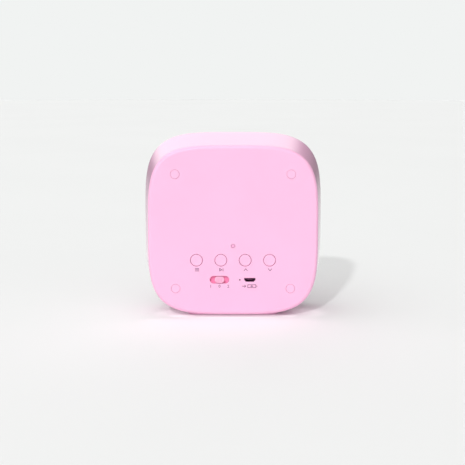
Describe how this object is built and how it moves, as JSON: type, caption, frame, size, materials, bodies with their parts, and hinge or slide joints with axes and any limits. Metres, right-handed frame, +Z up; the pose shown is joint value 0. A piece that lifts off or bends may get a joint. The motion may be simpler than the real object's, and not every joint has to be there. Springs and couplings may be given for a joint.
{
  "type": "shower speaker",
  "caption": "Free-standing squircle speaker with a perforated front, flush rear push buttons, a slide switch, a microphone hole and a micro-USB charging socket.",
  "frame": {"origin": "on the table under the middle of the body, halfway between the front lip and the rear face", "axes": "+X across the front, +Y out of the rear control panel, +Z up; the grille faces -Y"},
  "size_m": [0.118, 0.046, 0.119],
  "materials": {
    "pink_shell": "fine satin moulded ABS, pastel pink",
    "pink_cover": "fine satin moulded ABS, pastel pink",
    "pink_buttons": "satin moulded caps, pastel pink",
    "pink_knob": "satin moulded, pink",
    "foot_rubber": "soft matt silicone, pink",
    "seal_rubber": "black silicone",
    "seal_foam": "closed-cell foam",
    "mesh_fabric": "fine woven membrane",
    "zinc_steel": "bright zinc",
    "switch_metal": "tinned sheet",
    "socket_metal": "nickel-plated shell",
    "capacitor_can": "drawn can",
    "black_plastic": "moulded, matt",
    "dark_resin": "moulded resin",
    "led_white": "clear resin over white",
    "clear_pipe": "clear polycarbonate",
    "board_green": "solder mask over glass fibre",
    "ivory_plastic": "nylon, natural",
    "cell_wrap": "heat-shrink film",
    "lead_sleeve": "PVC sleeve",
    "basket_steel": "black painted pressing",
    "surround_rubber": "butyl rubber",
    "cone_paper": "pressed cone",
    "dust_cap": "moulded dome",
    "former_film": "polyimide film",
    "copper_wire": "enamelled copper",
    "spider_cloth": "resin-dipped cotton",
    "ferrite": "sintered ferrite",
    "terminal_board": "phenolic strip"
  },
  "bodies": {
    "body": {"housing": "pink_shell", "front_grille": "pink_shell", "acoustic_mesh": "mesh_fabric", "foot_pad": "foot_rubber", "rear_cover": "pink_cover", "cover_gasket": "seal_rubber", "cover_screws": "zinc_steel", "screw_caps": "pink_cover", "tact_switch_bodies": "switch_metal", "slide_switch_body": "switch_metal", "usb_socket": "socket_metal", "usb_tongue": "dark_resin", "charge_led": "led_white", "charge_light_pipe": "clear_pipe", "microphone": "switch_metal", "mic_boot": "seal_rubber", "main_board": "board_green", "board_screws": "zinc_steel", "radio_module": "switch_metal", "amplifier_chip": "dark_resin", "filter_capacitors": "capacitor_can", "power_inductor": "dark_resin", "battery_connector": "ivory_plastic", "speaker_connector": "ivory_plastic", "battery_cell": "cell_wrap", "battery_tray": "black_plastic", "tray_screws": "zinc_steel", "battery_leads": "lead_sleeve", "speaker_leads": "lead_sleeve", "driver_gasket": "seal_foam", "driver_basket": "basket_steel", "driver_screws": "zinc_steel", "driver_surround": "surround_rubber", "driver_spider": "spider_cloth", "driver_top_plate": "zinc_steel", "driver_magnet": "ferrite", "driver_yoke": "zinc_steel", "driver_terminals": "terminal_board"},
    "mode_button": {"button_mode": "pink_buttons", "tact_plunger_mode": "black_plastic"},
    "play_button": {"button_play": "pink_buttons", "tact_plunger_play": "black_plastic"},
    "up_button": {"button_up": "pink_buttons", "tact_plunger_up": "black_plastic"},
    "down_button": {"button_down": "pink_buttons", "tact_plunger_down": "black_plastic"},
    "switch_slider": {"slide_knob": "pink_knob", "slide_switch_lever": "black_plastic"},
    "driver_motor": {"driver_cone": "cone_paper", "driver_dust_cap": "dust_cap", "coil_former": "former_film", "coil_winding": "copper_wire"}
  },
  "joints": [
    {"name": "button_mode_press", "type": "slide", "parent": "body", "child": "mode_button", "axis": [0, -1, 0], "range_m": [0, 0.0004], "stiffness_N_per_m": 400},
    {"name": "button_play_press", "type": "slide", "parent": "body", "child": "play_button", "axis": [0, -1, 0], "range_m": [0, 0.0004], "stiffness_N_per_m": 400},
    {"name": "button_up_press", "type": "slide", "parent": "body", "child": "up_button", "axis": [0, -1, 0], "range_m": [0, 0.0004], "stiffness_N_per_m": 400},
    {"name": "button_down_press", "type": "slide", "parent": "body", "child": "down_button", "axis": [0, -1, 0], "range_m": [0, 0.0004], "stiffness_N_per_m": 400},
    {"name": "power_switch_slide", "type": "slide", "parent": "body", "child": "switch_slider", "axis": [-1, 0, 0], "range_m": [-0.0025, 0.0025]},
    {"name": "cone_stroke", "type": "slide", "parent": "body", "child": "driver_motor", "axis": [0, -1, 0], "range_m": [-0.0015, 0.0015], "stiffness_N_per_m": 1400, "deforming": ["driver_surround", "driver_spider"]}
  ]
}
